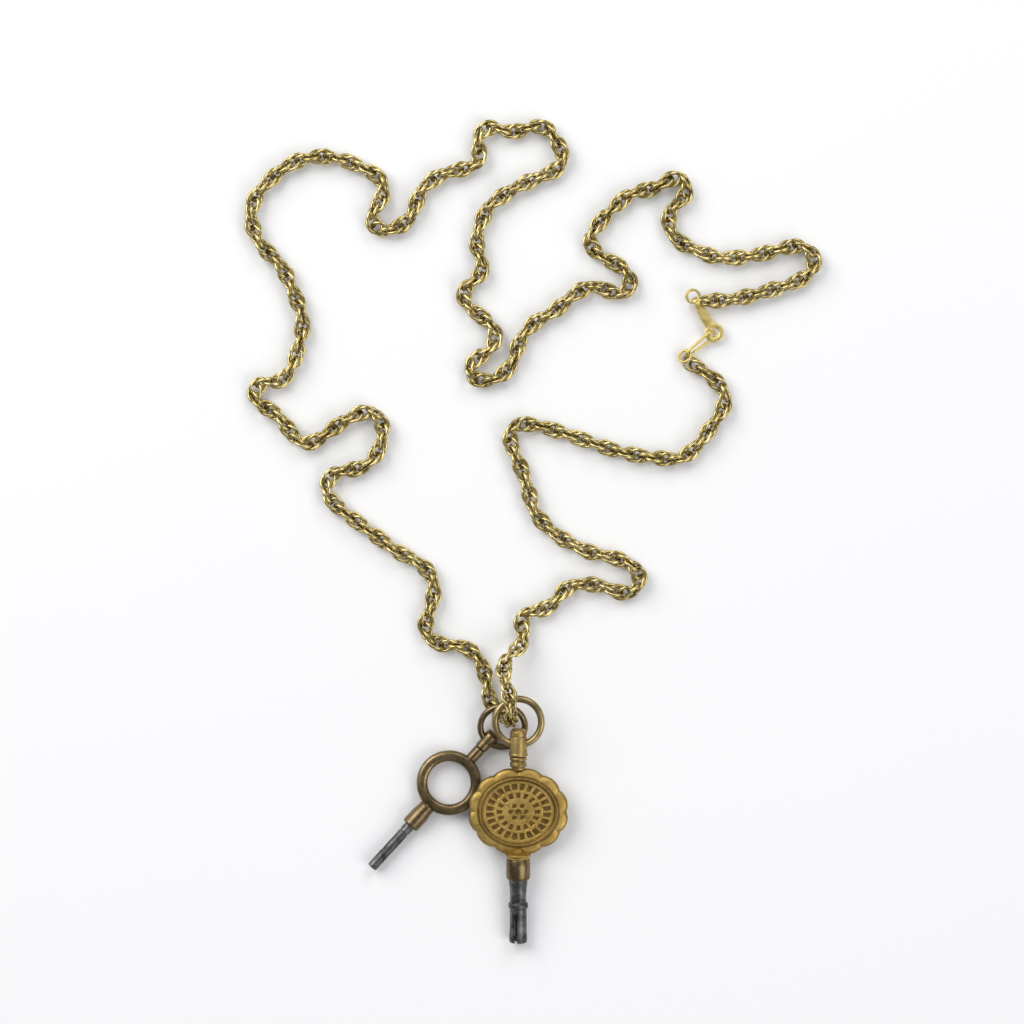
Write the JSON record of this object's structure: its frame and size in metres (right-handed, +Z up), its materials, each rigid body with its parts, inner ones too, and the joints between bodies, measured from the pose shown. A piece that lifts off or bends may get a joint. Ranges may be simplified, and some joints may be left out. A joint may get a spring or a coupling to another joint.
{
  "type": "pocket watch chain",
  "caption": "Closed loop of spiral rope chain with a hook-and-tag clasp, carrying watch keys on swivel bows, with a scalloped medallion or a finger ring for a handle.",
  "frame": {"origin": "on the table, under the centre of the laid-out chain and its keys", "axes": "+Y runs from the keys up the chain, +X to the right as seen from above, +Z up from the table"},
  "size_m": [0.1083, 0.1543, 0.0103],
  "materials": {
    "chain": "polished, gold-filled",
    "clasp": "satin, gold-filled",
    "key_1_brass": "aged gilt brass",
    "key_2_brass": "tarnished brass",
    "steel": "worn steel"
  },
  "bodies": {
    "legs": {"chain_left_leg": "chain", "chain_saddle": "chain", "chain_right_leg": "chain"},
    "diagonals": {"chain_left_diagonal_upper": "chain", "chain_left_diagonal_lower": "chain", "chain_right_step": "chain", "chain_right_diagonal": "chain"},
    "right_lobe": {"chain_right_lobe": "chain"},
    "middle": {"chain_loop_outer": "chain", "chain_loop_inner": "chain", "chain_left_corner": "chain", "chain_left_dip": "chain", "chain_left_knee": "chain", "chain_right_rise": "chain", "chain_right_traverse": "chain", "chain_right_climb": "chain", "chain_hook_end": "chain", "clasp_hook_ring": "clasp"},
    "left_lobe": {"chain_left_lobe": "chain"},
    "upper": {"chain_tag_end": "chain", "chain_shoulder": "chain", "chain_bend_upper": "chain", "chain_bend_lower": "chain", "chain_slope": "chain", "chain_zigzag_lower": "chain", "chain_zigzag_upper": "chain", "chain_valley": "chain", "chain_left_side_upper": "chain", "chain_left_side_lower": "chain", "clasp_tag_ring": "clasp"},
    "right_tip": {"chain_tip_lower": "chain", "chain_tip_upper": "chain"},
    "right_arch": {"chain_right_arch_outer": "chain", "chain_right_arch_inner": "chain"},
    "middle_arch": {"chain_middle_arch_right": "chain", "chain_middle_arch_left": "chain"},
    "middle_crown": {"chain_middle_crown_right": "chain", "chain_middle_crown_left": "chain"},
    "left_arch": {"chain_left_arch_inner": "chain", "chain_left_arch_outer": "chain"},
    "tag": {"clasp_tag": "clasp"},
    "hook": {"clasp_hook": "clasp"},
    "bow_1": {"key_1_bow": "key_1_brass"},
    "post_1": {"key_1_post": "key_1_brass"},
    "key_1": {"key_1_neck": "key_1_brass", "key_1_medallion": "key_1_brass", "key_1_ferrule": "key_1_brass", "key_1_pipe": "steel"},
    "bow_2": {"key_2_bow": "key_2_brass"},
    "post_2": {"key_2_post": "key_2_brass"},
    "key_2": {"key_2_handle": "key_2_brass", "key_2_pipe": "steel"}
  },
  "joints": [
    {"name": "fold_at_diagonals", "type": "hinge", "parent": "legs", "child": "diagonals", "pos_m": [0, -0.0175, 0.00155], "axis": [1, 0, 0], "range_deg": [0, 25]},
    {"name": "fold_at_middle", "type": "hinge", "parent": "diagonals", "child": "middle", "pos_m": [0, 0.008, 0.00155], "axis": [1, 0, 0], "range_deg": [0, 25]},
    {"name": "fold_at_upper", "type": "hinge", "parent": "middle", "child": "upper", "pos_m": [0, 0.037, 0.00155], "axis": [1, 0, 0], "range_deg": [0, 20]},
    {"name": "fold_right_lobe", "type": "hinge", "parent": "diagonals", "child": "right_lobe", "pos_m": [0.013, -0.0075, 0.00155], "axis": [0, -1, 0], "range_deg": [0, 25]},
    {"name": "fold_left_lobe", "type": "hinge", "parent": "middle", "child": "left_lobe", "pos_m": [-0.0335, 0.0163, 0.00155], "axis": [0, -1, 0], "range_deg": [0, 25]},
    {"name": "fold_right_tip", "type": "hinge", "parent": "upper", "child": "right_tip", "pos_m": [0.039, 0.0472, 0.00155], "axis": [0, -1, 0], "range_deg": [0, 25]},
    {"name": "fold_right_arch", "type": "hinge", "parent": "upper", "child": "right_arch", "pos_m": [0.0205, 0.06, 0.00155], "axis": [1, 0, 0], "range_deg": [0, 25]},
    {"name": "fold_middle_arch", "type": "hinge", "parent": "upper", "child": "middle_arch", "pos_m": [-0.0152, 0.06, 0.00155], "axis": [1, 0, 0], "range_deg": [0, 25]},
    {"name": "fold_middle_crown", "type": "hinge", "parent": "middle_arch", "child": "middle_crown", "pos_m": [-0.0022, 0.0715, 0.00155], "axis": [1, 0, 0], "range_deg": [0, 25]},
    {"name": "fold_left_arch", "type": "hinge", "parent": "upper", "child": "left_arch", "pos_m": [-0.041, 0.06, 0.00155], "axis": [1, 0, 0], "range_deg": [0, 25]},
    {"name": "tag_rock", "type": "hinge", "parent": "upper", "child": "tag", "pos_m": [0.0342, 0.037, 0.0015], "axis": [-0.509, 0.8607, 0], "range_deg": [-8, 8]},
    {"name": "hook_rock", "type": "hinge", "parent": "middle", "child": "hook", "pos_m": [0.0342, 0.037, 0.0015], "axis": [0.7848, 0.6198, 0], "range_deg": [-20, 20]},
    {"name": "bow_1_lift", "type": "hinge", "parent": "legs", "child": "bow_1", "pos_m": [-0.0025, -0.03128, 0.00569], "axis": [-1, 0, 0], "range_deg": [0, 30]},
    {"name": "post_1_swing", "type": "hinge", "parent": "bow_1", "child": "post_1", "pos_m": [-0.0025, -0.0397, 0.0051], "axis": [-1, 0, 0], "range_deg": [0, 20]},
    {"name": "key_1_swivel", "type": "hinge", "parent": "post_1", "child": "key_1", "pos_m": [-0.0025, -0.0397, 0.0051], "axis": [0, 0.9958, 0.0915], "range_deg": [0, 120]},
    {"name": "bow_2_swing", "type": "hinge", "parent": "legs", "child": "bow_2", "pos_m": [-0.0042, -0.03525, 0.004], "axis": [0, 0, -1], "range_deg": [0, 15]},
    {"name": "post_2_swing", "type": "hinge", "parent": "bow_2", "child": "post_2", "pos_m": [-0.0082, -0.0393, 0.0017], "axis": [-0.7122, 0.6526, 0.2588], "range_deg": [0, 2]},
    {"name": "key_2_swivel", "type": "hinge", "parent": "post_2", "child": "key_2", "pos_m": [-0.0082, -0.0393, 0.0017], "axis": [0.6756, 0.7373, 0], "range_deg": [0, 120]}
  ]
}
